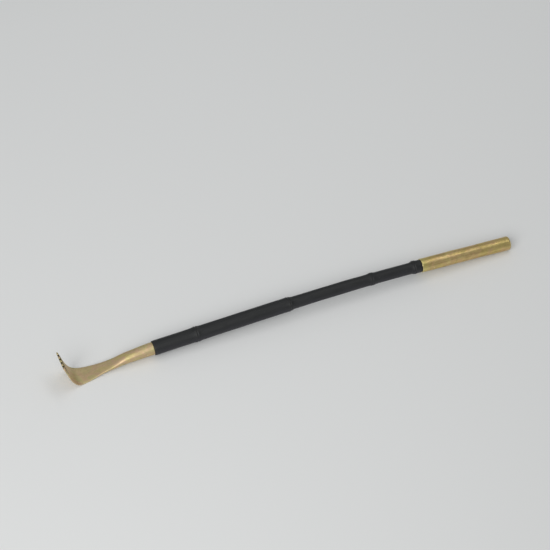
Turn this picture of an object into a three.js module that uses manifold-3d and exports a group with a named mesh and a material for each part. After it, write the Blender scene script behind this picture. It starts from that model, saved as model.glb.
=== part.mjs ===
// Long back scratcher: a toothed brass head and a brass tube handle on a black lacquered bamboo cane.
// Millimetres, +Z up. The cane runs along X, with the head at -X and the handle at +X. The object
// lies on z = 0, on the heel of its head and on the far end of its handle, and the cane bows up
// between them. The origin is under the middle of the object.

import * as THREE from "three";
import { mergeVertices } from "three/addons/utils/BufferGeometryUtils.js";
import Module from "manifold-3d";

const wasm = await Module();
wasm.setup();

// Driving dimensions

const CLEARANCE = 0.3; // gap kept between neighbouring pieces

const CANE_LENGTH = 324; // between the two brass mouths
const HEAD_SLOPE = THREE.MathUtils.degToRad(2.0); // the head's socket drops towards the heel
const HANDLE_SLOPE = THREE.MathUtils.degToRad(3.3); // the handle drops towards its far end

const TUBE_RADIUS = 8;
const TUBE_WALL = 0.9;
const HANDLE_LENGTH = 112; // from the mouth to the end of the cap
const MOUTH_CHAMFER = 0.5;

const CAP_SHOULDER = 2.6; // the part of the cap that shows behind the tube
const CAP_PLUG_LENGTH = 6;
const CAP_EDGE_RADIUS = 2;
const CAP_LAND_RADIUS = 5; // flat middle of the cap
const CAP_CROWN = 0.5; // the land stands this far behind the rounded edge

const HEAD_SPIGOT_LENGTH = 25;
const SOCKET_MOUTH_RADIUS = 6.5;
const SOCKET_FLOOR_RADIUS = 4.7;
const HANDLE_SPIGOT_LENGTH = 60;
const SPIGOT_ROOT = 4; // each spigot starts this far inside the stem

const PIN_RADIUS = 1;
const HEAD_PIN_FROM_MOUTH = 9;
const HANDLE_PIN_FROM_MOUTH = 14;
const HEAD_PIN_LENGTH = 14.4;
const HANDLE_PIN_LENGTH = 15.8;

const FINGERS = 5;
const FINGER_GAP_WIDTH = 2.2;
const FINGER_GAP_DEPTH = 7;

// Each joint of the bamboo: distance from the head's socket, height and half width of the ridge over
// the stem, and the radius of the stem before and after the joint.
const NODES = [
  { at: 51, ridge: 0.8, halfWidth: 4, before: 8.3, after: 8.2 },
  { at: 162.5, ridge: 0.85, halfWidth: 3.4, before: 8.1, after: 7.1 },
  { at: 263, ridge: 0.9, halfWidth: 3.6, before: 6.8, after: 6.7 },
  { at: 315, ridge: 0.9, halfWidth: 2.8, before: 6.6, after: 7.3 },
];
const CANE_STATION_STEP = 12;

// Middle plane of the head from the mouth of its socket to the finger tips, in the head's own frame,
// with the half width and the half thickness of the brass at each place.
const HEAD_STATIONS = [
  { x: 0, z: 0, halfWidth: 7.3, halfThickness: 7.3 },
  { x: -11, z: -0.2, halfWidth: 7.05, halfThickness: 6.95 },
  { x: -24, z: -0.8, halfWidth: 6.75, halfThickness: 6.1 },
  { x: -35, z: -1.8, halfWidth: 6.55, halfThickness: 4.6 },
  { x: -47, z: -3.6, halfWidth: 6.65, halfThickness: 2.7 },
  { x: -60, z: -5.3, halfWidth: 7.6, halfThickness: 1.4 },
  { x: -73, z: -6.6, halfWidth: 9.8, halfThickness: 1 },
  { x: -84, z: -7, halfWidth: 11.8, halfThickness: 0.9 },
  { x: -91.6, z: -4.9, halfWidth: 13.5, halfThickness: 0.9 },
  { x: -96.4, z: 1, halfWidth: 13.8, halfThickness: 1 },
  { x: -100, z: 9.2, halfWidth: 14.1, halfThickness: 1.1 },
  { x: -102.9, z: 19, halfWidth: 14.2, halfThickness: 1.15 },
  { x: -105.8, z: 28.9, halfWidth: 14.1, halfThickness: 1.1 },
];

const ROUND_SIDES = 40;
const PIN_SIDES = 16;
const HEAD_SIDES = 36;
const HEAD_RINGS = 60;

// Materials

const brass = new THREE.MeshStandardMaterial({ color: 0xb39a5c, metalness: 1, roughness: 0.35 });
const blackLacquer = new THREE.MeshStandardMaterial({ color: 0x17191b, metalness: 0, roughness: 0.4 });

// Solids

// Closed solid of a three.js geometry, without the empty triangles at its poles.
function toSolid(geometry) {
  const bare = geometry.clone();
  bare.deleteAttribute("normal");
  bare.deleteAttribute("uv");
  const merged = mergeVertices(bare, 1e-4);
  const corners = merged.index.array;
  const triangles = [];
  for (let i = 0; i < corners.length; i += 3) {
    const [a, b, c] = [corners[i], corners[i + 1], corners[i + 2]];
    if (a !== b && b !== c && c !== a) {
      triangles.push(a, b, c);
    }
  }
  return new wasm.Manifold(
    new wasm.Mesh({
      numProp: 3,
      vertProperties: new Float32Array(merged.attributes.position.array),
      triVerts: new Uint32Array(triangles),
    }),
  );
}

function toGeometry(solid) {
  const mesh = solid.getMesh();
  const geometry = new THREE.BufferGeometry();
  geometry.setAttribute("position", new THREE.BufferAttribute(mesh.vertProperties, 3));
  geometry.setIndex(new THREE.BufferAttribute(mesh.triVerts, 1));
  return geometry;
}

function namedMesh(name, solid, material) {
  const mesh = new THREE.Mesh(toGeometry(solid), material.clone());
  mesh.name = name;
  return mesh;
}

// Revolves a profile of [distance along X, radius] pairs about the X axis.
function turned(profile) {
  const points = profile.map(([along, radius]) => new THREE.Vector2(radius, along));
  return new THREE.LatheGeometry(points, ROUND_SIDES).rotateZ(-Math.PI / 2);
}

// A rod along Y through the point (x, 0, z).
function crossRod(x, z, radius, length) {
  return new THREE.CylinderGeometry(radius, radius, length, PIN_SIDES).translate(x, 0, z);
}

// Middle line of the bowed cane as (distance from the head's socket, height). Its control points are
// evenly spaced along X, so the curve's parameter is the distance over the cane's length.
function makeBow(startHeight, endHeight) {
  const third = CANE_LENGTH / 3;
  return new THREE.CubicBezierCurve(
    new THREE.Vector2(0, startHeight),
    new THREE.Vector2(third, startHeight + third * Math.tan(HEAD_SLOPE)),
    new THREE.Vector2(2 * third, endHeight + third * Math.tan(HANDLE_SLOPE)),
    new THREE.Vector2(CANE_LENGTH, endHeight),
  );
}

// Lays a straight piece turned about the X axis along the bow.
function bend(geometry, bow) {
  const position = geometry.attributes.position;
  for (let i = 0; i < position.count; i += 1) {
    const along = THREE.MathUtils.clamp(position.getX(i) / CANE_LENGTH, 0, 1);
    const middle = bow.getPoint(along);
    const direction = bow.getTangent(along);
    const up = position.getZ(i);
    position.setXYZ(i, middle.x - up * direction.y, position.getY(i), middle.y + up * direction.x);
  }
  return geometry;
}

// Head

// The head's outside, bent and flattened from a cylinder whose axis becomes the path through the stations.
function headSurface() {
  const path = new THREE.CatmullRomCurve3(
    HEAD_STATIONS.map(({ x, z }) => new THREE.Vector3(x, 0, z)),
    false,
    "catmullrom",
  );
  const sizes = new THREE.CatmullRomCurve3(
    HEAD_STATIONS.map(({ halfWidth, halfThickness }) => new THREE.Vector3(halfWidth, halfThickness, 0)),
    false,
    "catmullrom",
  );
  const geometry = new THREE.CylinderGeometry(1, 1, 1, HEAD_SIDES, HEAD_RINGS);
  const position = geometry.attributes.position;
  for (let i = 0; i < position.count; i += 1) {
    const t = path.getUtoTmapping(0.5 - position.getY(i));
    const middle = path.getPoint(t);
    const direction = path.getTangent(t);
    const { x: halfWidth, y: halfThickness } = sizes.getPoint(t);
    const squareness = 2 / (2 + 2 * (1 - halfThickness / halfWidth));
    const across = halfWidth * rounded(-position.getX(i), squareness);
    const up = halfThickness * rounded(position.getZ(i), squareness);
    position.setXYZ(i, middle.x + up * direction.z, across, middle.z - up * direction.x);
  }
  return geometry;
}

// One coordinate of the unit superellipse.
function rounded(value, power) {
  return Math.sign(value) * Math.abs(value) ** power;
}

// A slot with a round floor, cut down into the lip between two fingers.
function fingerGap(y) {
  const tip = HEAD_STATIONS.at(-1);
  const outline = new THREE.Shape();
  const half = FINGER_GAP_WIDTH / 2;
  outline.moveTo(y - half, tip.z + 1);
  outline.lineTo(y - half, tip.z - FINGER_GAP_DEPTH + half);
  outline.absarc(y, tip.z - FINGER_GAP_DEPTH + half, half, Math.PI, 2 * Math.PI);
  outline.lineTo(y + half, tip.z + 1);
  const through = 10;
  const cutter = new THREE.ExtrudeGeometry(outline, { depth: through, bevelEnabled: false, curveSegments: 8 });
  cutter.rotateX(Math.PI / 2).rotateZ(Math.PI / 2);
  return cutter.translate(tip.x - through / 2, 0, 0);
}

function makeHead() {
  const tip = HEAD_STATIONS.at(-1);
  const floor = -HEAD_SPIGOT_LENGTH - CLEARANCE;
  const socket = turned([
    [floor, 0],
    [floor, SOCKET_FLOOR_RADIUS],
    [0, SOCKET_MOUTH_RADIUS],
    [1, SOCKET_MOUTH_RADIUS],
    [1, 0],
  ]);
  let head = toSolid(headSurface()).subtract(toSolid(socket));
  head = head.subtract(toSolid(crossRod(-HEAD_PIN_FROM_MOUTH, 0, PIN_RADIUS + CLEARANCE, 4 * TUBE_RADIUS)));
  const pitch = (2 * tip.halfWidth) / FINGERS;
  for (let gap = 1; gap < FINGERS; gap += 1) {
    head = head.subtract(toSolid(fingerGap(-tip.halfWidth + gap * pitch)));
  }
  return head;
}

function makeHeadPin() {
  return toSolid(crossRod(-HEAD_PIN_FROM_MOUTH, 0, PIN_RADIUS, HEAD_PIN_LENGTH));
}

// Cane

// Radius between the joints, where the stem tapers evenly.
function stemRadius(x) {
  const next = NODES.findIndex((node) => x < node.at);
  if (next === 0) {
    return NODES[0].before;
  }
  if (next === -1) {
    return NODES.at(-1).after;
  }
  const from = NODES[next - 1];
  const to = NODES[next];
  return THREE.MathUtils.mapLinear(x, from.at, to.at, from.after, to.before);
}

// Radius with the ridges added and the change of stem radius eased over each joint.
function caneRadius(x) {
  let radius = stemRadius(x);
  for (const { at, ridge, halfWidth, before, after } of NODES) {
    const distance = (x - at) / halfWidth;
    const step = (after - before) * (THREE.MathUtils.smoothstep(distance, -1.5, 1.5) - (x < at ? 0 : 1));
    radius += step + ridge * Math.exp(-distance * distance);
  }
  return radius;
}

// Places along the cane where its outline is sampled, close together over each joint.
function caneStations() {
  const stations = [0, CANE_LENGTH];
  for (const { at, halfWidth } of NODES) {
    for (let step = -2; step <= 2; step += 0.5) {
      stations.push(at + step * halfWidth);
    }
  }
  for (let x = CANE_STATION_STEP; x < CANE_LENGTH; x += CANE_STATION_STEP) {
    if (stations.every((station) => Math.abs(station - x) > CANE_STATION_STEP / 2)) {
      stations.push(x);
    }
  }
  return stations.filter((x) => x <= CANE_LENGTH).sort((a, b) => a - b);
}

function makeCane(bow, headFrame, handleFrame) {
  const stem = turned([
    [CLEARANCE, 0],
    ...caneStations().map((x) => [THREE.MathUtils.clamp(x, CLEARANCE, CANE_LENGTH - CLEARANCE), caneRadius(x)]),
    [CANE_LENGTH - CLEARANCE, 0],
  ]);
  const headSpigot = turned([
    [-HEAD_SPIGOT_LENGTH, 0],
    [-HEAD_SPIGOT_LENGTH, SOCKET_FLOOR_RADIUS - CLEARANCE],
    [0, SOCKET_MOUTH_RADIUS - CLEARANCE],
    [SPIGOT_ROOT, SOCKET_MOUTH_RADIUS - CLEARANCE],
    [SPIGOT_ROOT, 0],
  ]);
  const handleSpigotRadius = TUBE_RADIUS - TUBE_WALL - CLEARANCE;
  const handleSpigot = turned([
    [-SPIGOT_ROOT, 0],
    [-SPIGOT_ROOT, handleSpigotRadius],
    [HANDLE_SPIGOT_LENGTH - 1, handleSpigotRadius],
    [HANDLE_SPIGOT_LENGTH, handleSpigotRadius - 1],
    [HANDLE_SPIGOT_LENGTH, 0],
  ]);
  const holeRadius = PIN_RADIUS + CLEARANCE;
  const headHole = crossRod(-HEAD_PIN_FROM_MOUTH, 0, holeRadius, 4 * TUBE_RADIUS);
  const handleHole = crossRod(HANDLE_PIN_FROM_MOUTH, 0, holeRadius, 4 * TUBE_RADIUS);
  return toSolid(bend(stem, bow))
    .add(toSolid(headSpigot.applyMatrix4(headFrame)))
    .add(toSolid(handleSpigot.applyMatrix4(handleFrame)))
    .subtract(toSolid(headHole.applyMatrix4(headFrame)))
    .subtract(toSolid(handleHole.applyMatrix4(handleFrame)));
}

// Handle

function makeHandleTube() {
  const inner = TUBE_RADIUS - TUBE_WALL;
  const end = HANDLE_LENGTH - CAP_SHOULDER - CLEARANCE;
  const tube = turned([
    [0, inner],
    [0, TUBE_RADIUS - MOUTH_CHAMFER],
    [MOUTH_CHAMFER, TUBE_RADIUS],
    [end, TUBE_RADIUS],
    [end, inner],
    [0, inner],
  ]);
  const pinHole = crossRod(HANDLE_PIN_FROM_MOUTH, 0, PIN_RADIUS + CLEARANCE, 4 * TUBE_RADIUS);
  return toSolid(tube).subtract(toSolid(pinHole));
}

function makeHandleCap() {
  const shoulder = HANDLE_LENGTH - CAP_SHOULDER;
  const plug = TUBE_RADIUS - TUBE_WALL - CLEARANCE;
  const edgeCentre = HANDLE_LENGTH - CAP_EDGE_RADIUS - CAP_CROWN;
  const edgeSteps = 5;
  const edge = [];
  for (let step = 0; step <= edgeSteps; step += 1) {
    const turn = (step / edgeSteps) * (Math.PI / 2);
    edge.push([
      edgeCentre + CAP_EDGE_RADIUS * Math.sin(turn),
      TUBE_RADIUS - CAP_EDGE_RADIUS * (1 - Math.cos(turn)),
    ]);
  }
  return toSolid(
    turned([
      [shoulder - CAP_PLUG_LENGTH, 0],
      [shoulder - CAP_PLUG_LENGTH, plug],
      [shoulder, plug],
      [shoulder, TUBE_RADIUS],
      ...edge,
      [HANDLE_LENGTH, CAP_LAND_RADIUS],
      [HANDLE_LENGTH, 0],
    ]),
  );
}

function makeHandlePin() {
  return toSolid(crossRod(HANDLE_PIN_FROM_MOUTH, 0, PIN_RADIUS, HANDLE_PIN_LENGTH));
}

// Assembly

const head = makeHead();
const headFrame = new THREE.Matrix4().makeRotationY(-HEAD_SLOPE);
const headLowest = new THREE.Box3().setFromBufferAttribute(
  toGeometry(head).applyMatrix4(headFrame).attributes.position,
).min.z;
headFrame.setPosition(0, 0, -headLowest);

const handleDrop = (HANDLE_LENGTH - CAP_EDGE_RADIUS - CAP_CROWN) * Math.sin(HANDLE_SLOPE);
const mouthHeight = handleDrop + TUBE_RADIUS * Math.cos(HANDLE_SLOPE);
const handleFrame = new THREE.Matrix4().makeRotationY(HANDLE_SLOPE).setPosition(CANE_LENGTH, 0, mouthHeight);

const bow = makeBow(-headLowest, mouthHeight);

const headGroup = new THREE.Group();
headGroup.applyMatrix4(headFrame);
headGroup.add(namedMesh("scratcher_head", head, brass));
headGroup.add(namedMesh("head_pin", makeHeadPin(), brass));

const handleGroup = new THREE.Group();
handleGroup.applyMatrix4(handleFrame);
handleGroup.add(namedMesh("handle_tube", makeHandleTube(), brass));
handleGroup.add(namedMesh("handle_end_cap", makeHandleCap(), brass));
handleGroup.add(namedMesh("handle_pin", makeHandlePin(), brass));

const scratcher = new THREE.Group();
scratcher.add(headGroup, handleGroup);
scratcher.add(namedMesh("cane_shaft", makeCane(bow, headFrame, handleFrame), blackLacquer));

const bounds = new THREE.Box3().setFromObject(scratcher, true);
scratcher.position.set(-(bounds.min.x + bounds.max.x) / 2, 0, -bounds.min.z);

export default scratcher;
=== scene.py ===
import math
from collections import namedtuple

import bmesh
import bpy
import numpy as np
from mathutils import Matrix, Vector


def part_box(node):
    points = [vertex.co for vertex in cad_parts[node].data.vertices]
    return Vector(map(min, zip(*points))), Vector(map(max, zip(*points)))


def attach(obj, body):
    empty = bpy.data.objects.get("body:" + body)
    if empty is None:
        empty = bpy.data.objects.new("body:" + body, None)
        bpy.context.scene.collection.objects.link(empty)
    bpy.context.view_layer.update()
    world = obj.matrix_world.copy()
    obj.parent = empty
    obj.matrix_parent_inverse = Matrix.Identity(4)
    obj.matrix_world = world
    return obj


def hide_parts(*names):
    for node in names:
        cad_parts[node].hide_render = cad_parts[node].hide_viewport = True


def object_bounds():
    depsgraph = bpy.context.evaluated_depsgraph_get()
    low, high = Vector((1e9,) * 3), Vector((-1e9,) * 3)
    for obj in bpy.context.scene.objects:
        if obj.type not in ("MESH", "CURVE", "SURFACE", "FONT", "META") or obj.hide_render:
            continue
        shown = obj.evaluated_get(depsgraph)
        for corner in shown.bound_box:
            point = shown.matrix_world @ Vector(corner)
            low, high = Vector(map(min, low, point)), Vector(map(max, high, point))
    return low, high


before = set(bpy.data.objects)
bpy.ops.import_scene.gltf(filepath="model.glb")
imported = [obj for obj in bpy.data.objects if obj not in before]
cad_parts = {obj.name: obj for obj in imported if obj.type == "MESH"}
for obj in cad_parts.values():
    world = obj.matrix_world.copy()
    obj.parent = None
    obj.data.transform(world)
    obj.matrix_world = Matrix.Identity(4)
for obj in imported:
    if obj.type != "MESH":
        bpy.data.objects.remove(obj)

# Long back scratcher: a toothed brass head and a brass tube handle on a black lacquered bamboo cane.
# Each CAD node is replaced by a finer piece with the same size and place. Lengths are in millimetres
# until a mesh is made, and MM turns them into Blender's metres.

CAD_BOX = [list(corner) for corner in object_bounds()]
MM = 0.001

# Sizes of the CAD model

CANE_LENGTH = 324
HEAD_SLOPE = math.radians(2.0)
HANDLE_SLOPE = math.radians(3.3)
TUBE_RADIUS = 8
BORE_RADIUS = 7.1
MOUTH_EDGE = 0.5
HANDLE_LENGTH = 112
CAP_SHOULDER = 2.6
CAP_PLUG_LENGTH = 6
CAP_PLUG_RADIUS = 6.8
CAP_EDGE_RADIUS = 2
CAP_CROWN = 0.5
HEAD_SPIGOT_LENGTH = 25
HANDLE_SPIGOT_LENGTH = 60
SOCKET_MOUTH_RADIUS = 6.5
SOCKET_FLOOR_RADIUS = 4.7
SPIGOT_CLEARANCE = 0.3
PIN_RADIUS = 1
HEAD_PIN_FROM_MOUTH = 9
HANDLE_PIN_FROM_MOUTH = 14
FINGERS = 5
FINGER_GAP_WIDTH = 2.2
FINGER_GAP_DEPTH = 7

# Middle plane of the head from its socket to its finger tips, with the half width and half thickness
# of the brass: (x, z, half width, half thickness), in the head's own frame.
HEAD_STATIONS = [
    (0, 0, 7.3, 7.3),
    (-11, -0.2, 7.05, 6.95),
    (-24, -0.8, 6.75, 6.1),
    (-35, -1.8, 6.55, 4.6),
    (-47, -3.6, 6.65, 2.7),
    (-60, -5.3, 7.6, 1.4),
    (-73, -6.6, 9.8, 1),
    (-84, -7, 11.8, 0.9),
    (-91.6, -4.9, 13.5, 0.9),
    (-96.4, 1, 13.8, 1),
    (-100, 9.2, 14.1, 1.1),
    (-102.9, 19, 14.2, 1.15),
    (-105.8, 28.9, 14.1, 1.1),
]

# Joints of the bamboo: distance from the head's socket, height and half width of the swelling, radius
# of the stem before and after it, the side that its bud sits on, in degrees round from +Y towards +Z,
# and the height of the bud.
Joint = namedtuple("Joint", "at ridge half_width before after bud bud_height")
JOINTS = [
    Joint(51, 0.8, 4, 8.3, 8.2, 75, 0.5),
    Joint(162.5, 0.85, 3.4, 8.1, 7.1, 130, 0.35),
    Joint(263, 0.9, 3.6, 6.8, 6.7, 60, 0.35),
    Joint(315, 0.9, 2.8, 6.6, 7.3, 50, 0.4),
]

# Detail that the CAD model leaves out. A ripple is a random unevenness: its height, its wavelength, how
# far its pattern is squeezed along X (below 1 draws it out lengthwise), and its seed.

Ripple = namedtuple("Ripple", "height wavelength squeeze seed")

HAIRLINE = 0.05  # half of the cement line that shows where two pieces meet
EDGE_BREAK = 0.12  # small bevel on the two edges that meet at the end cap's seam

PIN_CLEARANCE = 0.03
PIN_DOME = 0.12
HEAD_PIN_LENGTH = 14.3
HANDLE_PIN_LENGTH = 15.9

SOCKET_FLARE = 0.2  # the socket's bore opens by this much at its mouth
SOCKET_RIM = [(0, 0.35), (0.12, 0.1)]  # distance from the mouth and depth under the surface
TIP_ROUNDING = 0.7  # the finger tips are round from face to face over this length
TIP_TAPER = 0.9  # share of the rounding that is taken off the tips' width and thickness
THINNEST_TIP = 0.08
CORNER_LENGTH = 1.6  # the lip's two outer corners are round over this length
CORNER_DEPTH = 0.9
CORNER_BLUNTNESS = 0.98
FINGER_TIP_RADIUS = 0.8
FINGER_EDGE_RADIUS = 0.35
HEAD_BEATEN = [Ripple(0.0084, 9, 1, 1), Ripple(0.0036, 4, 1, 2)]  # heights are shares of the thickness
HEAD_WARP = [Ripple(0.12, 22, 1, 3)]

SWELLING_SHARE = 0.6  # of a joint's ridge, as a smooth swelling under its rings
# Rings round each joint: place along the stem from the joint's middle, half width and height.
JOINT_RINGS = [
    (-1.1, 0.6, 0.2),  # scar of the leaf sheath
    (0.2, 0.5, -0.38),  # groove
    (1.7, 1.1, 0.14),  # upper ring
]
BUD_PLACE = 0.6
BUD_HALF_LENGTH = 3.2
BUD_HALF_WIDTH = 4.6
PIT_PLACE = 3.6  # a pit lies just above the bud
PIT_HALF_LENGTH = 1.5
PIT_HALF_WIDTH = 1.0
PIT_DEPTH = 0.35
FURROW_START = (1, 9)  # a furrow deepens over this stretch above the joint
FURROW_END = (24, 62)  # and fades over this one
FURROW_HALF_WIDTH = 2.6
FURROW_DEPTH = 0.28
# Rounded ends of the cane's stem: distance from the brass mouth and depth under the surface.
STEM_EDGE = [(0.25, 0.25), (0.5, 0.07)]
HEAD_END_STEP = 0.7
HANDLE_END_STEP = 0.5
SPIGOT_BEVEL = 0.5
STEM_RIPPLES = [Ripple(0.06, 45, 1, 11), Ripple(0.035, 7, 0.25, 12)]

TUBE_DENTS = [Ripple(0.05, 9, 0.45, 21), Ripple(0.03, 5, 1, 22), Ripple(0.07, 30, 0.5, 23)]
TUBE_WORN_AWAY = 0.1  # keeps the dented surface inside the tube's true radius

# Fineness of the meshes

HEAD_SIDES = 112
HEAD_RING_STEP = 0.55
PATH_SAMPLES = 4001
COARSE_STEP = 8  # only every eighth sample is searched for the one nearest to a vertex
CANE_SIDES = 88
CANE_RING_STEP = 1.5
JOINT_RING_STEP = 0.3
JOINT_REACH = 8
HANDLE_RING_STEP = 0.8
ROUND_SIDES = 112
PIN_SIDES = 32
SHARP_ANGLE = math.radians(38)


# Shape tools


def smoothstep(value, low, high):
    """Eases from 0 at low to 1 at high."""
    share = np.clip((np.asarray(value, float) - low) / (high - low), 0, 1)
    return share * share * (3 - 2 * share)


def ripple(points, wavelength, seed, waves=14):
    """Smooth random field, mostly between -1 and 1, with swells about wavelength apart."""
    random = np.random.default_rng(seed)
    directions = random.normal(size=(waves, 3))
    directions /= np.linalg.norm(directions, axis=1, keepdims=True)
    directions *= 2 * math.pi / (wavelength * random.uniform(0.7, 1.5, (waves, 1)))
    phases = random.uniform(0, 2 * math.pi, waves)
    return np.sin(points @ directions.T + phases).sum(axis=1) / math.sqrt(waves)


def unevenness(points, ripples):
    """Sum of the ripples at each point."""
    return sum(r.height * ripple(points * [r.squeeze, 1, 1], r.wavelength, r.seed) for r in ripples)


def between(value, rise, fall):
    """Eases from 0 to 1 over the stretch rise, and back to 0 over the stretch fall."""
    return smoothstep(value, *rise) * (1 - smoothstep(value, *fall))


def hill(along, half_length, around=0, half_width=1):
    """Smooth hill, 1 at its middle and near 0 at twice its half length and half width."""
    return np.exp(-((around / half_width) ** 2) - (along / half_length) ** 2)


def quarter(steps):
    """Angles over a quarter turn."""
    return np.linspace(0, math.pi / 2, steps)


def circle(sides):
    """Angles round a ring, from +Y towards +Z."""
    return np.linspace(0, 2 * math.pi, sides, endpoint=False)


def turned_rings(profile, sides):
    """Rings about the X axis through a profile of (x, radius)."""
    angles = circle(sides)
    return np.array([
        np.column_stack([np.full(sides, x), radius * np.cos(angles), radius * np.sin(angles)])
        for x, radius in profile
    ])


def piece_from_rings(name, rings, ends="flat"):
    """Closed piece through rings of points. Both ends are flat faces, or a strip closes the last ring's
    two long sides, or the last ring is joined to the first."""
    ring_count, sides = rings.shape[:2]
    last = (ring_count - 1) * sides
    faces = []
    for ring in range(ring_count if ends == "loop" else ring_count - 1):
        here = ring * sides
        there = (ring + 1) % ring_count * sides
        for side in range(sides):
            after = (side + 1) % sides
            faces.append((here + side, here + after, there + after, there + side))
    if ends != "loop":
        faces.append(tuple(range(sides)))
    if ends == "flat":
        faces.append(tuple(range(last, last + sides)))
    if ends == "strip":
        for side in range(sides // 2):
            corners = (side, side + 1, -side - 1, -side)
            faces.append(tuple(dict.fromkeys(last + corner % sides for corner in corners)))
    mesh = bpy.data.meshes.new(name)
    mesh.from_pydata((rings.reshape(-1, 3) * MM).tolist(), [], faces)
    work = bmesh.new()
    work.from_mesh(mesh)
    bmesh.ops.recalc_face_normals(work, faces=work.faces)
    work.to_mesh(mesh)
    work.free()
    piece = bpy.data.objects.new(name, mesh)
    bpy.context.scene.collection.objects.link(piece)
    return piece


def cut(piece, cutters):
    """Subtracts the cutters from the piece and removes them."""
    for cutter in cutters:
        modifier = piece.modifiers.new("cut", "BOOLEAN")
        modifier.operation = "DIFFERENCE"
        modifier.solver = "MANIFOLD"
        modifier.object = cutter
    evaluated = piece.evaluated_get(bpy.context.evaluated_depsgraph_get())
    mesh = bpy.data.meshes.new_from_object(evaluated)
    piece.modifiers.clear()
    piece.data = mesh
    for cutter in cutters:
        bpy.data.objects.remove(cutter)


def crosswise(x, mouth_frame):
    """Matrix that lays a piece made along X across a brass piece, at distance x from its mouth."""
    return mouth_frame @ Matrix.Translation((x * MM, 0, 0)) @ Matrix.Rotation(math.pi / 2, 4, "Z")


def cross_hole(x, mouth_frame):
    """Cutter for the hole of a cross pin at distance x from a brass mouth."""
    reach = 2 * TUBE_RADIUS
    radius = PIN_RADIUS + PIN_CLEARANCE
    cutter = piece_from_rings("hole", turned_rings([(-reach, radius), (reach, radius)], PIN_SIDES))
    cutter.data.transform(crosswise(x, mouth_frame))
    return cutter


def positions(piece):
    """The piece's vertices in millimetres."""
    flat = np.empty(len(piece.data.vertices) * 3)
    piece.data.vertices.foreach_get("co", flat)
    return flat.reshape(-1, 3) / MM


def store(piece, laid, wear_and_shade):
    """Keeps each vertex's place on the straightened piece, in millimetres, and its value of wear and
    painted shade: 1 where the surface is rubbed bright, below 0 where tarnish dulls it, and -1 where
    painted shade darkens the finger gaps."""
    mesh = piece.data
    attribute = mesh.attributes.new("laid", "FLOAT_VECTOR", "POINT")
    attribute.data.foreach_set("vector", np.asarray(laid, np.float32).ravel())
    attribute = mesh.attributes.new("wear_and_shade", "FLOAT", "POINT")
    attribute.data.foreach_set("value", np.asarray(wear_and_shade, np.float32))


def finish_piece(piece, node, material):
    """Shades the piece and puts it in the place of its CAD node."""
    mesh = piece.data
    mesh.shade_smooth()
    mesh.set_sharp_from_angle(angle=SHARP_ANGLE)
    mesh.materials.clear()
    mesh.materials.append(material)
    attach(piece, "root")
    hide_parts(node)


# Frames of the two brass mouths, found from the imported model's boxes


def mouth_frames(path):
    """The frames of the head's socket mouth and the handle's mouth, with x along the piece."""
    low, high = (Vector(corner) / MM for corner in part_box("handle_tube"))
    mouth_x = low.x + (TUBE_RADIUS - MOUTH_EDGE) * math.sin(HANDLE_SLOPE)
    mouth_z = high.z - TUBE_RADIUS * math.cos(HANDLE_SLOPE) + MOUTH_EDGE * math.sin(HANDLE_SLOPE)
    socket_x = mouth_x - CANE_LENGTH
    socket_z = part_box("scratcher_head")[0][2] / MM + path.height_at_rest()
    head = Matrix.Translation((socket_x * MM, 0, socket_z * MM)) @ Matrix.Rotation(-HEAD_SLOPE, 4, "Y")
    handle = Matrix.Translation((mouth_x * MM, 0, mouth_z * MM)) @ Matrix.Rotation(HANDLE_SLOPE, 4, "Y")
    return head, handle


# Head


def spline(rows, t):
    """Uniform Catmull-Rom curve through rows of numbers, at each t from 0 to 1."""
    rows = np.asarray(rows, float)
    padded = np.vstack([2 * rows[0] - rows[1], rows, 2 * rows[-1] - rows[-2]])
    place = np.clip(t, 0, 1) * (len(rows) - 1)
    span = np.minimum(place.astype(int), len(rows) - 2)
    f = (place - span)[:, None]
    a, b, c, d = (padded[span + k] for k in range(4))
    return 0.5 * (2 * b + (c - a) * f + (2 * a - 5 * b + 4 * c - d) * f**2 + (3 * b - a - 3 * c + d) * f**3)


class HeadPath:
    """The head's middle line sampled closely, by distance along it from the socket's mouth."""

    def __init__(self):
        rows = spline(HEAD_STATIONS, np.linspace(0, 1, PATH_SAMPLES))
        self.line = rows[:, :2]
        self.sizes = rows[:, 2:]
        steps = np.linalg.norm(np.diff(self.line, axis=0), axis=1)
        self.distance = np.concatenate([[0], np.cumsum(steps)])
        self.length = self.distance[-1]
        tangent = np.gradient(self.line, axis=0)
        self.tangent = tangent / np.linalg.norm(tangent, axis=1, keepdims=True)

    def at(self, distance):
        """Middle point, tangent and sizes at each distance along the head."""
        line, tangent, sizes = (
            np.column_stack([np.interp(distance, self.distance, column) for column in table.T])
            for table in (self.line, self.tangent, self.sizes)
        )
        return line, tangent / np.linalg.norm(tangent, axis=1, keepdims=True), sizes

    def straighten(self, points):
        """Points of the head as (distance along it, across, off its middle plane)."""
        sample = slice(None, None, COARSE_STEP)
        gaps = points[:, None, [0, 2]] - self.line[None, sample]
        nearest = np.argmin((gaps**2).sum(axis=2), axis=1)
        middle = self.line[sample][nearest]
        tangent = self.tangent[sample][nearest]
        offset = points[:, [0, 2]] - middle
        along = self.distance[sample][nearest] + (offset * tangent).sum(axis=1)
        off_plane = offset[:, 0] * tangent[:, 1] - offset[:, 1] * tangent[:, 0]
        return np.column_stack([along, points[:, 1], off_plane])

    def height_at_rest(self):
        """Height of the socket's middle over the head's lowest point, at the head's slope."""
        middle, tangent, sizes = self.at(np.linspace(0, self.length, 2000))
        below = middle + np.column_stack([-tangent[:, 1], tangent[:, 0]]) * sizes[:, 1:]
        return -(below[:, 0] * math.sin(HEAD_SLOPE) + below[:, 1] * math.cos(HEAD_SLOPE)).min()


def superellipse(value, power):
    """Cosine or sine for a ring that is round at power 1 and boxier below it."""
    return np.sign(value) * np.abs(value) ** power


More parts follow.
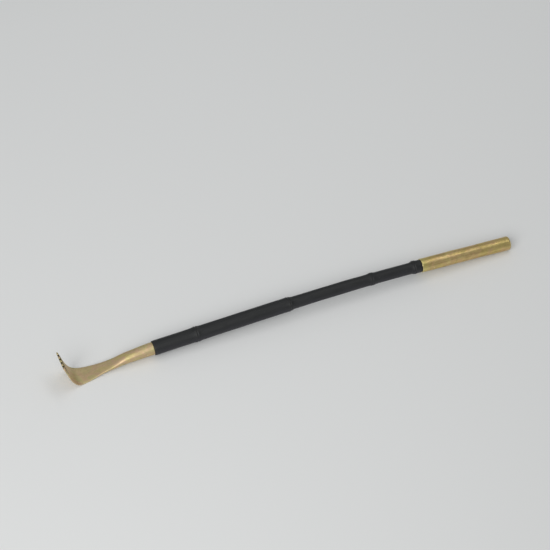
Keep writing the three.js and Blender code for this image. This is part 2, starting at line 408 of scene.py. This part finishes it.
def socket_bore():
    """Profile of the tapered socket, from its floor to its mouth."""
    floor = -HEAD_SPIGOT_LENGTH - SPIGOT_CLEARANCE
    bore = []
    for x in np.linspace(floor, -SPIGOT_CLEARANCE, 18):
        bore.append((x, np.interp(x, [floor, 0], [SOCKET_FLOOR_RADIUS, SOCKET_MOUTH_RADIUS])))
    bore.append((0, SOCKET_MOUTH_RADIUS + SOCKET_FLARE))
    return bore


def head_rings(path):
    """Rings of the head: its socket from the floor out, then its outside down to the finger tips."""
    turn = quarter(5)
    rim_distance, rim_shrink = zip(*SOCKET_RIM)
    straight = np.arange(0.3, path.length - TIP_ROUNDING, HEAD_RING_STEP)
    tip = path.length - TIP_ROUNDING * (1 - np.sin(turn))
    tip_shrink = TIP_ROUNDING * (1 - np.cos(turn)) * TIP_TAPER
    distance = np.concatenate([rim_distance, straight, tip])
    shrink = np.concatenate([rim_shrink, np.zeros(len(straight)), tip_shrink])
    middle, tangent, sizes = path.at(distance)
    corner = smoothstep(distance, path.length - CORNER_LENGTH, path.length)
    corner_loss = CORNER_DEPTH * (1 - np.sqrt(1 - CORNER_BLUNTNESS * corner**2))
    half_width = sizes[:, 0] - shrink - corner_loss
    half_thickness = np.maximum(sizes[:, 1] - shrink, THINNEST_TIP)
    power = 1 / (2 - sizes[:, 1] / sizes[:, 0])  # 1 where the head is round, near 0.5 where it is flat

    angles = circle(HEAD_SIDES)
    across = half_width[:, None] * superellipse(np.cos(angles)[None], power[:, None])
    up = half_thickness[:, None] * superellipse(np.sin(angles)[None], power[:, None])
    along = np.broadcast_to(distance[:, None], across.shape)
    laid = np.stack([along, across, up], axis=2).reshape(-1, 3)
    fade = between(laid[:, 0], (2, 8), (path.length - 9, path.length - 3))
    beaten = unevenness(laid, HEAD_BEATEN) * fade
    warp = unevenness(laid, HEAD_WARP) * fade
    up = up * (1 + beaten.reshape(up.shape)) + warp.reshape(up.shape)
    outside = np.stack([
        middle[:, :1] + up * tangent[:, 1:],
        across,
        middle[:, 1:] - up * tangent[:, :1],
    ], axis=2)
    return np.concatenate([turned_rings(socket_bore(), HEAD_SIDES), outside])


def finger_gap(path, y):
    """Cutter for one slot of the lip. Its walls flare at the faces and the tip, to round the fingers."""
    middle, tangent, sizes = path.at(np.array([path.length]))
    tip = np.array([middle[0, 0], y, middle[0, 1]])
    down = np.array([-tangent[0, 0], 0, -tangent[0, 1]])
    normal = np.array([down[2], 0, -down[0]])
    across = np.array([0, 1, 0])

    past_face = 4
    past_tip = 1.5
    face_turn = quarter(5)
    face_flare = FINGER_EDGE_RADIUS * (1 - np.cos(face_turn))
    face_height = sizes[0, 1] - FINGER_EDGE_RADIUS * (1 - np.sin(face_turn))
    near = [(-past_face, FINGER_EDGE_RADIUS), *zip(-face_height[::-1], face_flare[::-1])]
    layers = near + [(-height, flare) for height, flare in reversed(near)]

    tip_turn = quarter(7)
    tip_flare = FINGER_TIP_RADIUS * (1 - np.cos(tip_turn))
    tip_depth = FINGER_TIP_RADIUS * (1 - np.sin(tip_turn))
    floor_turn = np.linspace(0, math.pi, 17)
    floor = FINGER_GAP_DEPTH - FINGER_GAP_WIDTH / 2
    rings = []
    for height, flare in layers:
        half = FINGER_GAP_WIDTH / 2 + flare
        side = [(half + FINGER_TIP_RADIUS, -past_tip), *zip(half + tip_flare[::-1], tip_depth[::-1])]
        bottom = [(half * math.cos(turn), floor + half * math.sin(turn)) for turn in floor_turn]
        other_side = [(-sideways, depth) for sideways, depth in reversed(side)]
        middle_of_layer = tip + normal * height
        for sideways, depth in side + bottom + other_side:
            rings.append(middle_of_layer + across * sideways + down * depth)
    return piece_from_rings("gap", np.array(rings).reshape(len(layers), -1, 3))


def head_wear_and_shade(path, laid, gap_places):
    """Rubbed edges of the blade, tips and mouth, dulled fingers, and painted shade that darkens the finger
    gaps.
    """
    x = laid[:, 0]
    fingers_start = path.length - FINGER_GAP_DEPTH
    half_width = path.at(x)[2][:, 0]
    side_edge = smoothstep(np.abs(laid[:, 1]) / half_width, 0.86, 0.99) * smoothstep(x, 40, 60)
    tip_edge = smoothstep(x, path.length - 3, path.length)
    mouth_edge = 1 - smoothstep(x, 0, 1.2)
    polish = np.maximum.reduce([0.25 * side_edge, 0.3 * tip_edge, 0.5 * mouth_edge])
    polish -= 0.35 * smoothstep(x, fingers_start - 6, fingers_start)
    # painted shade: the walls of the finger gaps are darkened to stand for the shade inside them
    from_gap = np.abs(laid[:, 1, None] - np.array(gap_places)).min(axis=1)
    in_gap = from_gap < FINGER_GAP_WIDTH / 2 + 0.6 * FINGER_EDGE_RADIUS
    darkening = in_gap * smoothstep(x, fingers_start - 1, fingers_start - 0.5) * (x < path.length - 0.3)
    return np.where(darkening > 0, -darkening, polish)


def make_head(path, head_frame):
    """The brass head, made straight in its own frame and then laid at its slope."""
    piece = piece_from_rings("brass_head", head_rings(path), ends="strip")
    tip_half_width = HEAD_STATIONS[-1][2]
    pitch = 2 * tip_half_width / FINGERS
    gap_places = [-tip_half_width + gap * pitch for gap in range(1, FINGERS)]
    cutters = [finger_gap(path, y) for y in gap_places]
    cutters.append(cross_hole(-HEAD_PIN_FROM_MOUTH, Matrix.Identity(4)))
    cut(piece, cutters)
    laid = path.straighten(positions(piece))
    piece.data.transform(head_frame)
    store(piece, laid, head_wear_and_shade(path, laid, gap_places))
    return piece


# Cane


def bow_height(x, head_frame, handle_frame):
    """Height of the cane's middle line at distance x from the socket, straight beyond both mouths."""
    x = np.asarray(x, float)
    start = head_frame.translation.z / MM
    end = handle_frame.translation.z / MM
    third = CANE_LENGTH / 3
    heights = [start, start + third * math.tan(HEAD_SLOPE), end + third * math.tan(HANDLE_SLOPE), end]
    t = np.clip(x / CANE_LENGTH, 0, 1)
    weights = [(1 - t) ** 3, 3 * t * (1 - t) ** 2, 3 * t**2 * (1 - t), t**3]
    inside = sum(weight * height for weight, height in zip(weights, heights))
    before = np.minimum(x, 0) * math.tan(HEAD_SLOPE)
    beyond = -np.maximum(x - CANE_LENGTH, 0) * math.tan(HANDLE_SLOPE)
    return inside + before + beyond


def stem_radius(x):
    """Radius without the swellings, with the change at each joint eased."""
    radius = np.interp(
        x,
        [place for joint in JOINTS for place in (joint.at - 0.01, joint.at + 0.01)],
        [value for joint in JOINTS for value in (joint.before, joint.after)],
    )
    for joint in JOINTS:
        distance = (x - joint.at) / joint.half_width
        eased = smoothstep(distance, -1.5, 1.5) - (distance >= 0)
        radius = radius + (joint.after - joint.before) * eased
    return radius


def joint_relief(x, angle):
    """Height over the stem: each joint's swelling and rings, its bud with a pit, and the furrow above."""
    relief = np.zeros(np.broadcast(x, angle).shape)
    for number, joint in enumerate(JOINTS):
        bud = math.radians(joint.bud)
        around = np.angle(np.exp(1j * (angle - bud))) * joint.before
        distance = x - joint.at
        wander = (
            0.35 * np.cos(angle - bud)
            + 0.22 * np.sin(3 * angle + 2 * number)
            + 0.1 * np.sin(7 * angle + number)
        )
        relief += SWELLING_SHARE * joint.ridge * hill(distance, joint.half_width)
        for place, half_width, height in JOINT_RINGS:
            relief += height * hill(distance - wander - place, half_width)
        relief += joint.bud_height * hill(distance - BUD_PLACE, BUD_HALF_LENGTH, around, BUD_HALF_WIDTH)
        relief -= PIT_DEPTH * hill(distance - PIT_PLACE, PIT_HALF_LENGTH, around, PIT_HALF_WIDTH)
        reach = between(distance, FURROW_START, FURROW_END)
        relief -= FURROW_DEPTH * reach * hill(0, 1, around, FURROW_HALF_WIDTH)
    return relief


def cane_stations():
    """Places along the stem's outline, close together over each joint."""
    first = 0.9
    last = CANE_LENGTH - 0.6
    stations = list(np.arange(first, last, CANE_RING_STEP))
    for joint in JOINTS:
        stations += list(joint.at + np.arange(-JOINT_REACH, JOINT_REACH + 0.01, JOINT_RING_STEP))
    stations = sorted(place for place in stations if place < last)
    kept = [stations[0]]
    for place in stations[1:]:
        if place - kept[-1] > 0.2:
            kept.append(place)
    return np.array(kept)


def cane_stem():
    """Rings of the straight stem between the two mouths, and the radius at every point of them."""
    x, angle = np.meshgrid(cane_stations(), circle(CANE_SIDES), indexing="ij")
    radius = stem_radius(x) + joint_relief(x, angle)
    straight = np.stack([x, radius * np.cos(angle), radius * np.sin(angle)], axis=2).reshape(-1, 3)
    fade = between(x, (0, 6), (CANE_LENGTH - 6, CANE_LENGTH))
    radius = radius + unevenness(straight, STEM_RIPPLES).reshape(x.shape) * fade
    return np.stack([x, radius * np.cos(angle), radius * np.sin(angle)], axis=2), radius


def head_end_profile(stem_end_radius):
    """The tapered spigot that fills the head's socket, and the rounded end of the stem behind it."""
    tip = -HEAD_SPIGOT_LENGTH
    tip_radius = SOCKET_FLOOR_RADIUS - SPIGOT_CLEARANCE
    root_radius = SOCKET_MOUTH_RADIUS - SPIGOT_CLEARANCE
    profile = [(tip, tip_radius - SPIGOT_BEVEL), (tip + SPIGOT_BEVEL, tip_radius)]
    for place in np.linspace(tip + 3, HAIRLINE, 10):
        profile.append((place, np.interp(place, [tip, 0], [tip_radius, root_radius])))
    profile.append((HAIRLINE, stem_end_radius - HEAD_END_STEP))
    profile += [(place, stem_end_radius - depth) for place, depth in STEM_EDGE]
    return profile


def handle_end_profile(stem_end_radius):
    """The rounded end of the stem at the handle, and the straight spigot inside the tube."""
    far = CANE_LENGTH
    profile = [(far - place, stem_end_radius - depth) for place, depth in reversed(STEM_EDGE)]
    profile.append((far - HAIRLINE, stem_end_radius - HANDLE_END_STEP))
    for place in np.linspace(-HAIRLINE + 0.01, HANDLE_SPIGOT_LENGTH - 1, 14):
        profile.append((far + place, CAP_PLUG_RADIUS))
    profile.append((far + HANDLE_SPIGOT_LENGTH, CAP_PLUG_RADIUS - 1))
    return profile


def make_cane(head_frame, handle_frame):
    """The bamboo cane, made straight and then bent along its bow."""
    stem, radius = cane_stem()
    rings = np.concatenate([
        turned_rings(head_end_profile(radius[0].mean()), CANE_SIDES),
        stem,
        turned_rings(handle_end_profile(radius[-1].mean()), CANE_SIDES),
    ])
    along, across, up = np.moveaxis(rings, 2, 0)
    before, here, after = (bow_height(along + step, head_frame, handle_frame) for step in (-0.5, 0, 0.5))
    lean = np.arctan(after - before)
    start = head_frame.translation.x / MM
    x = start + along - up * np.sin(lean)
    z = here + up * np.cos(lean)
    piece = piece_from_rings("bamboo_cane", np.stack([x, across, z], axis=2))
    cut(piece, [
        cross_hole(-HEAD_PIN_FROM_MOUTH, head_frame),
        cross_hole(HANDLE_PIN_FROM_MOUTH, handle_frame),
    ])
    points = positions(piece)
    along = points[:, 0] - start
    off_line = points[:, 2] - bow_height(along, head_frame, handle_frame)
    over_stem = np.hypot(points[:, 1], off_line) - stem_radius(along)
    rubbed = smoothstep(over_stem, 0.55, 1.25)
    ends = np.maximum(1 - smoothstep(along, 0, 1.5), smoothstep(along, CANE_LENGTH - 1.5, CANE_LENGTH))
    store(piece, np.column_stack([along, points[:, 1], off_line]), np.maximum(rubbed, 0.6 * ends))
    return piece


# Handle


def make_handle_sleeve(handle_frame):
    """The brass tube, slightly dented outside, with a rounded mouth and an open far end."""
    end = HANDLE_LENGTH - CAP_SHOULDER - HAIRLINE
    outer = []
    for turn in np.linspace(math.pi / 2, 0, 6):
        x = MOUTH_EDGE * (1 - math.sin(turn))
        outer.append((x, TUBE_RADIUS - MOUTH_EDGE * (1 - math.cos(turn))))
    outer += [(x, TUBE_RADIUS) for x in np.arange(1.1, end - 0.5, HANDLE_RING_STEP)]
    outer += [(end - 0.15, TUBE_RADIUS), (end, TUBE_RADIUS - EDGE_BREAK)]
    inner = [(x, BORE_RADIUS) for x in np.linspace(end, 0.3, 30)]
    inner.append((0, BORE_RADIUS + 0.15))
    rings = turned_rings(outer + inner, ROUND_SIDES)
    points = rings[: len(outer)].reshape(-1, 3)
    dents = unevenness(points, TUBE_DENTS) - TUBE_WORN_AWAY
    fade = between(points[:, 0], (0.4, 5), (end - 5, end - 0.6))
    scale = 1 + dents * fade / TUBE_RADIUS
    rings[: len(outer), :, 1:] *= scale.reshape(len(outer), ROUND_SIDES, 1)
    piece = piece_from_rings("brass_handle_sleeve", rings, ends="loop")
    cut(piece, [cross_hole(HANDLE_PIN_FROM_MOUTH, Matrix.Identity(4))])
    laid = positions(piece)
    piece.data.transform(handle_frame)
    mouth = 1 - smoothstep(laid[:, 0], 0, 1.4)
    far_end = smoothstep(laid[:, 0], end - 1.2, end)
    store(piece, laid, np.maximum(mouth, 0.7 * far_end))
    return piece


def make_end_cap(handle_frame):
    """The cap: its plug, the seam against the tube, a rounded edge, and a slightly raised flat middle."""
    shoulder = HANDLE_LENGTH - CAP_SHOULDER
    base = shoulder - CAP_PLUG_LENGTH
    edge = HANDLE_LENGTH - CAP_CROWN
    profile = [
        (base, CAP_PLUG_RADIUS - 0.4),
        (base + 0.4, CAP_PLUG_RADIUS),
        (shoulder - 0.2, CAP_PLUG_RADIUS),
        (shoulder, CAP_PLUG_RADIUS + 0.2),
        (shoulder, TUBE_RADIUS - EDGE_BREAK),
        (shoulder + 0.1, TUBE_RADIUS),
    ]
    for turn in np.linspace(0.02, math.pi / 2, 12):
        x = edge - CAP_EDGE_RADIUS * (1 - math.sin(turn))
        profile.append((x, TUBE_RADIUS - CAP_EDGE_RADIUS * (1 - math.cos(turn))))
    inside_edge = TUBE_RADIUS - CAP_EDGE_RADIUS
    for radius in np.linspace(inside_edge - 0.2, 0.4, 20):
        profile.append((edge + CAP_CROWN * float(smoothstep(inside_edge - radius, 0, 1.4)), radius))
    piece = piece_from_rings("brass_end_cap", turned_rings(profile, ROUND_SIDES))
    laid = positions(piece)
    piece.data.transform(handle_frame)
    radius = np.hypot(laid[:, 1], laid[:, 2])
    store(piece, laid, smoothstep(radius, 5, 7) * smoothstep(laid[:, 0], shoulder + 0.6, shoulder + 2))
    return piece


def make_pin(name, x, length, mouth_frame):
    """Cross pin at distance x from a brass mouth, filed flush and slightly domed at both ends."""
    half = length / 2
    dome = [(half - PIN_DOME * share**2, PIN_RADIUS * share) for share in (1.0, 0.9, 0.7, 0.45, 0.2)]
    profile = [(-place, radius) for place, radius in reversed(dome)] + dome
    piece = piece_from_rings(name, turned_rings(profile, PIN_SIDES))
    laid = positions(piece)
    piece.data.transform(crosswise(x, mouth_frame))
    store(piece, laid, smoothstep(np.abs(laid[:, 0]), half - 0.3, half))
    return piece


# Materials. The noises and bumps are laid out in millimetres on the straightened piece.

SCRATCH_SHADE = (0.62, 0.52, 0.36)
BRASS_SPECK = (0.12, 0.085, 0.045)
# dark colour for tarnish on the fingers and for painted shade in the finger gaps
BRASS_TARNISH_AND_PAINTED_SHADE = (0.045, 0.042, 0.028)
LACQUER_TONES = [(0.0130, 0.0130, 0.0170), (0.0175, 0.0168, 0.0225), (0.0240, 0.0225, 0.0320)]
# painted shade for the upper side of the cane's stem
LACQUER_PAINTED_TOP_SHADE = (0.40, 0.50, 0.38)
FIBRE_LINE = (0.030, 0.028, 0.031)
BARE_BAMBOO = (0.072, 0.052, 0.036)
DUST = (0.16, 0.155, 0.145)


class Finish:
    """A material's node tree, with a short way to add each kind of node that the finishes use."""

    def __init__(self, name):
        self.material = bpy.data.materials.new(name)
        self.material.use_nodes = True
        self.tree = self.material.node_tree
        self.tree.nodes.clear()
        self.shader = self.tree.nodes.new("ShaderNodeBsdfPrincipled")
        output = self.tree.nodes.new("ShaderNodeOutputMaterial")
        self.tree.links.new(self.shader.outputs["BSDF"], output.inputs["Surface"])

    def feed(self, socket, value):
        """Links a node's output to the socket, or sets the socket to a plain value."""
        if isinstance(value, bpy.types.NodeSocket):
            self.tree.links.new(value, socket)
        else:
            socket.default_value = value

    def set(self, name, value):
        """Feeds one of the shader's own sockets."""
        self.feed(self.shader.inputs[name], value)

    def attribute(self, name, output):
        """A vertex attribute of the piece."""
        node = self.tree.nodes.new("ShaderNodeAttribute")
        node.attribute_name = name
        return node.outputs[output]

    def coordinate(self, vector, axis):
        """One coordinate of a vector."""
        node = self.tree.nodes.new("ShaderNodeSeparateXYZ")
        self.feed(node.inputs["Vector"], vector)
        return node.outputs[axis]

    def stretched(self, vector, scale):
        """The vector with its lengthwise part scaled down, which draws noise out along the piece."""
        node = self.tree.nodes.new("ShaderNodeMapping")
        self.feed(node.inputs["Vector"], vector)
        node.inputs["Scale"].default_value = (scale, 1, 1)
        return node.outputs["Vector"]

    def noise(self, vector, scale, detail, roughness=0.5, distortion=0.0):
        node = self.tree.nodes.new("ShaderNodeTexNoise")
        self.feed(node.inputs["Vector"], vector)
        node.inputs["Scale"].default_value = scale
        node.inputs["Detail"].default_value = detail
        node.inputs["Roughness"].default_value = roughness
        node.inputs["Distortion"].default_value = distortion
        return node.outputs["Fac"]

    def ramp(self, value, stops):
        """Maps a value through stops of (place, colour or grey)."""
        node = self.tree.nodes.new("ShaderNodeValToRGB")
        self.feed(node.inputs["Fac"], value)
        elements = node.color_ramp.elements
        while len(elements) < len(stops):
            elements.new(0.5)
        for element, (place, colour) in zip(elements, stops):
            rgb = colour if isinstance(colour, tuple) else (colour,) * 3
            element.position = place
            element.color = (*rgb, 1)
        return node.outputs["Color"]

    def mix(self, factor, first, second, blend="MIX"):
        """Mixes two colours, each a node's output or a plain (red, green, blue)."""
        node = self.tree.nodes.new("ShaderNodeMix")
        node.data_type = "RGBA"
        node.blend_type = blend
        self.feed(node.inputs["Factor"], factor)
        for socket, colour in (("A", first), ("B", second)):
            plain = isinstance(colour, tuple)
            self.feed(node.inputs[socket], (*colour, 1) if plain else colour)
        return node.outputs["Result"]

    def maths(self, operation, first, second, third=0.0):
        node = self.tree.nodes.new("ShaderNodeMath")
        node.operation = operation
        for socket, value in zip(node.inputs, (first, second, third)):
            self.feed(socket, value)
        return node.outputs["Value"]

    def bump(self, height, millimetres, strength, normal=None):
        """Tilts the surface by a height map of the given depth, on top of an earlier bump."""
        node = self.tree.nodes.new("ShaderNodeBump")
        self.feed(node.inputs["Height"], height)
        node.inputs["Distance"].default_value = millimetres * MM
        node.inputs["Strength"].default_value = strength
        if normal is not None:
            self.feed(node.inputs["Normal"], normal)
        return node.outputs["Normal"]


def brass(name, tones, tarnish, film_strength, polished, roughness, streak, mouth_tint=None):
    """Handled brass: patches of tone, tarnish, lengthwise scratches, rubbed edges, and a dark colour for
    tarnish and painted shade.

    The tones run from low to high patches. The tarnish lies as a cloudy film of the given strength.
    The polished colour shows where the stored value is above 0. Below 0 the brass darkens towards a dark
    colour, which is tarnish on the fingers and painted shade in the finger gaps. Streak is how strongly the
    scratch lines darken the brass, and mouth_tint is a brighter colour that fades from the mouth.
    """
    finish = Finish(name)
    laid = finish.attribute("laid", "Vector")
    wear_and_shade = finish.attribute("wear_and_shade", "Fac")
    patches = finish.noise(finish.stretched(laid, 0.6), 0.085, detail=3.0, distortion=0.6)
    clouds = finish.noise(laid, 0.16, detail=4.0, roughness=0.55, distortion=0.8)
    lines = finish.noise(finish.stretched(laid, 0.035), 1.1, detail=4.0, roughness=0.65)

    colour = finish.ramp(patches, list(zip((0.32, 0.47, 0.56, 0.7), tones)))
    film = finish.ramp(clouds, [(0.44, 0.0), (0.68, film_strength)])
    colour = finish.mix(film, colour, tarnish)
    if mouth_tint is not None:
        ragged = finish.maths("MULTIPLY_ADD", clouds, 9.0, finish.coordinate(laid, "X"))
        band = finish.ramp(finish.maths("DIVIDE", ragged, 24.0), [(0.25, 0.7), (0.62, 0.0)])
        colour = finish.mix(band, colour, mouth_tint)
    scratched = finish.mix(1.0, colour, SCRATCH_SHADE, "MULTIPLY")
    colour = finish.mix(finish.ramp(lines, [(0.35, 0.0), (0.7, streak)]), colour, scratched)
    specks = finish.ramp(finish.noise(laid, 1.6, detail=2.0), [(0.68, 0.0), (0.76, 0.55)])
    colour = finish.mix(specks, colour, BRASS_SPECK)
    patchy = finish.ramp(clouds, [(0.3, 0.3), (0.7, 0.7)])
    polish = finish.maths("MULTIPLY", finish.maths("MAXIMUM", wear_and_shade, 0.0), patchy)
    colour = finish.mix(polish, colour, polished)
    # below 0: tarnish on the fingers, and painted shade in the finger gaps
    darkening = finish.maths("MULTIPLY", finish.maths("MINIMUM", wear_and_shade, 0.0), -0.9)
    finish.set("Base Color", finish.mix(darkening, colour, BRASS_TARNISH_AND_PAINTED_SHADE))
    finish.set("Metallic", 1.0)

    rough = finish.ramp(clouds, [(0.3, roughness[0]), (0.72, roughness[1])])
    rough = finish.maths("ADD", rough, finish.ramp(lines, [(0.3, 0.0), (0.75, 0.09)]))
    finish.set("Roughness", finish.maths("MULTIPLY_ADD", wear_and_shade, -0.07, rough))

    handled = finish.noise(finish.stretched(laid, 0.12), 0.55, detail=3.0)
    scratches = finish.noise(finish.stretched(laid, 0.02), 7.0, detail=3.0, roughness=0.6)
    pits = finish.ramp(finish.noise(laid, 2.4, detail=2.0), [(0.3, 0.0), (0.42, 1.0)])
    normal = finish.bump(handled, 0.5, 0.35)
    normal = finish.bump(scratches, 0.04, 0.5, normal)
    finish.set("Normal", finish.bump(pits, 0.03, 0.4, normal))
    return finish.material


def lacquered_bamboo():
    """Black lacquer on bamboo: fibre lines, soft brush marks, brown rubbed through on the joints, and
    painted shade that darkens the top of the stem.
    """
    finish = Finish("black_lacquered_bamboo")
    laid = finish.attribute("laid", "Vector")
    wear_and_shade = finish.attribute("wear_and_shade", "Fac")
    clouds = finish.noise(finish.stretched(laid, 0.35), 0.13, detail=4.0, roughness=0.6, distortion=0.5)
    fibres = finish.noise(finish.stretched(laid, 0.018), 3.2, detail=4.0, roughness=0.65)

    colour = finish.ramp(clouds, list(zip((0.3, 0.5, 0.7), LACQUER_TONES)))
    # painted shade: the stem's upper side is darkened by a multiplied colour
    height = finish.maths("MULTIPLY_ADD", finish.coordinate(laid, "Z"), 0.06, 0.5)
    upper = finish.ramp(height, [(0.35, 0.0), (0.8, 1.0)])
    colour = finish.mix(upper, colour, finish.mix(1.0, colour, LACQUER_PAINTED_TOP_SHADE, "MULTIPLY"))
    colour = finish.mix(finish.ramp(fibres, [(0.42, 0.0), (0.75, 0.5)]), colour, FIBRE_LINE)
    chips = finish.ramp(finish.noise(laid, 0.9, detail=4.0, roughness=0.6), [(0.5, 0.0), (0.62, 1.0)])
    rubbed = finish.maths("MULTIPLY", wear_and_shade, chips)
    colour = finish.mix(finish.maths("MULTIPLY", rubbed, 0.55), colour, BARE_BAMBOO)
    dust = finish.ramp(finish.noise(laid, 1.3, detail=2.0), [(0.73, 0.0), (0.78, 0.8)])
    finish.set("Base Color", finish.mix(dust, colour, DUST))
    finish.set("Specular IOR Level", 0.42)

    rough = finish.ramp(clouds, [(0.3, 0.42), (0.7, 0.58)])
    rough = finish.maths("ADD", rough, finish.ramp(fibres, [(0.4, 0.0), (0.8, 0.1)]))
    finish.set("Roughness", rough)

    brush_marks = finish.noise(finish.stretched(laid, 0.15), 0.7, detail=3.0)
    orange_peel = finish.noise(laid, 2.2, detail=2.0)
    normal = finish.bump(fibres, 0.22, 0.5)
    normal = finish.bump(brush_marks, 0.3, 0.4, normal)
    finish.set("Normal", finish.bump(orange_peel, 0.05, 0.35, normal))
    return finish.material


# Studio

FLOOR_REACH = 4.0
FLOOR_TONES = [(0.71, 0.715, 0.71), (0.86, 0.865, 0.86)]
# Area lights that face the object: name, place and size in metres, and power in watts.
LIGHTS = [
    ("front_panel", (-0.95, -1.05, 1.2), (1.4, 1.1), 20.0),
    ("top_strip", (0.5, 0.2, 1.5), (1.2, 0.3), 3.2),
]
SKY_COLOUR = (0.97, 0.99, 1.0)
SKY_STRENGTH = 0.38

CAMERA_AZIMUTH = math.radians(-21.87)
CAMERA_ELEVATION = math.radians(47.92)
CAMERA_DISTANCE = 2992.5
CAMERA_RIGHT = -17.14  # how far the camera is moved sideways from the middle of the object
CAMERA_UP = 31.0  # and how far along its own up direction
CAMERA_LENS = 174.5
CAMERA_SENSOR = 36


def make_floor():
    """Plain pale paper under the object, with painted light that makes it a little paler towards the back.
    """
    mesh = bpy.data.meshes.new("floor")
    near, far = -FLOOR_REACH, FLOOR_REACH
    corners = [(near, near, 0), (far, near, 0), (far, far, 0), (near, far, 0)]
    mesh.from_pydata(corners, [], [(0, 1, 2, 3)])
    floor = bpy.data.objects.new("floor", mesh)
    bpy.context.scene.collection.objects.link(floor)
    finish = Finish("pale_floor")
    where = finish.tree.nodes.new("ShaderNodeTexCoord").outputs["Object"]
    # painted light: the colour grows paler towards the back, to even out the lamps' light
    depth = finish.maths("MULTIPLY_ADD", finish.coordinate(where, "Y"), 1.0, 0.4)
    cloud = finish.noise(where, 1.6, detail=1.0, roughness=0.4)
    tone = finish.ramp(finish.maths("MULTIPLY_ADD", cloud, 0.1, depth), list(zip((0.0, 1.0), FLOOR_TONES)))
    finish.set("Base Color", tone)
    finish.set("Roughness", 0.75)
    finish.set("Specular IOR Level", 0.1)
    mesh.materials.append(finish.material)


def make_light(name, place, size, power):
    """Area light at its place, turned to face the object."""
    data = bpy.data.lights.new(name, "AREA")
    data.shape = "RECTANGLE"
    data.size, data.size_y = size
    data.energy = power
    light = bpy.data.objects.new(name, data)
    light.location = place
    light.rotation_euler = Vector(place).to_track_quat("Z", "Y").to_euler()
    bpy.context.scene.collection.objects.link(light)


def make_sky():
    """Even light from all round."""
    world = bpy.data.worlds.new("studio")
    world.use_nodes = True
    background = world.node_tree.nodes["Background"]
    background.inputs["Color"].default_value = (*SKY_COLOUR, 1)
    background.inputs["Strength"].default_value = SKY_STRENGTH
    bpy.context.scene.world = world


def make_camera():
    """Camera that looks down on the object from the front and a little from its head's side."""
    low, high = (Vector(corner) for corner in CAD_BOX)
    back = Vector((
        math.sin(CAMERA_AZIMUTH) * math.cos(CAMERA_ELEVATION),
        -math.cos(CAMERA_AZIMUTH) * math.cos(CAMERA_ELEVATION),
        math.sin(CAMERA_ELEVATION),
    ))
    right = Vector((math.cos(CAMERA_AZIMUTH), math.sin(CAMERA_AZIMUTH), 0))
    up = back.cross(right)
    data = bpy.data.cameras.new("camera")
    data.sensor_width = CAMERA_SENSOR
    data.lens = CAMERA_LENS
    camera = bpy.data.objects.new("camera", data)
    offset = back * CAMERA_DISTANCE + right * CAMERA_RIGHT + up * CAMERA_UP
    camera.location = (low + high) / 2 + offset * MM
    camera.rotation_euler = Matrix((right, up, back)).transposed().to_euler()
    bpy.context.scene.collection.objects.link(camera)
    bpy.context.scene.camera = camera


# Assembly

head_path = HeadPath()
head_frame, handle_frame = mouth_frames(head_path)

head_brass = brass(
    "satin_brass_head",
    tones=[(0.63, 0.57, 0.30), (0.68, 0.57, 0.32), (0.71, 0.52, 0.35), (0.68, 0.58, 0.28)],
    tarnish=(0.50, 0.46, 0.27),
    film_strength=0.45,
    polished=(0.78, 0.69, 0.43),
    roughness=(0.50, 0.62),
    streak=0.3,
)
handle_brass = brass(
    "worn_brass_handle",
    tones=[(0.68, 0.56, 0.22), (0.73, 0.57, 0.24), (0.74, 0.53, 0.28), (0.78, 0.64, 0.29)],
    tarnish=(0.54, 0.44, 0.19),
    film_strength=0.7,
    polished=(0.86, 0.73, 0.40),
    roughness=(0.28, 0.38),
    streak=0.6,
    mouth_tint=(0.72, 0.66, 0.24),
)
pin_brass = brass(
    "filed_brass_pin",
    tones=[(0.66, 0.52, 0.24), (0.72, 0.57, 0.28), (0.70, 0.54, 0.27), (0.76, 0.62, 0.32)],
    tarnish=(0.46, 0.38, 0.18),
    film_strength=0.6,
    polished=(0.86, 0.73, 0.42),
    roughness=(0.3, 0.42),
    streak=0.4,
)

finish_piece(make_head(head_path, head_frame), "scratcher_head", head_brass)
finish_piece(make_cane(head_frame, handle_frame), "cane_shaft", lacquered_bamboo())
finish_piece(make_handle_sleeve(handle_frame), "handle_tube", handle_brass)
finish_piece(make_end_cap(handle_frame), "handle_end_cap", handle_brass)
head_pin = make_pin("head_cross_pin", -HEAD_PIN_FROM_MOUTH, HEAD_PIN_LENGTH, head_frame)
finish_piece(head_pin, "head_pin", pin_brass)
handle_pin = make_pin("handle_cross_pin", HANDLE_PIN_FROM_MOUTH, HANDLE_PIN_LENGTH, handle_frame)
finish_piece(handle_pin, "handle_pin", pin_brass)

make_floor()
make_sky()
for light in LIGHTS:
    make_light(*light)
make_camera()
bpy.context.scene.view_settings.view_transform = "Standard"
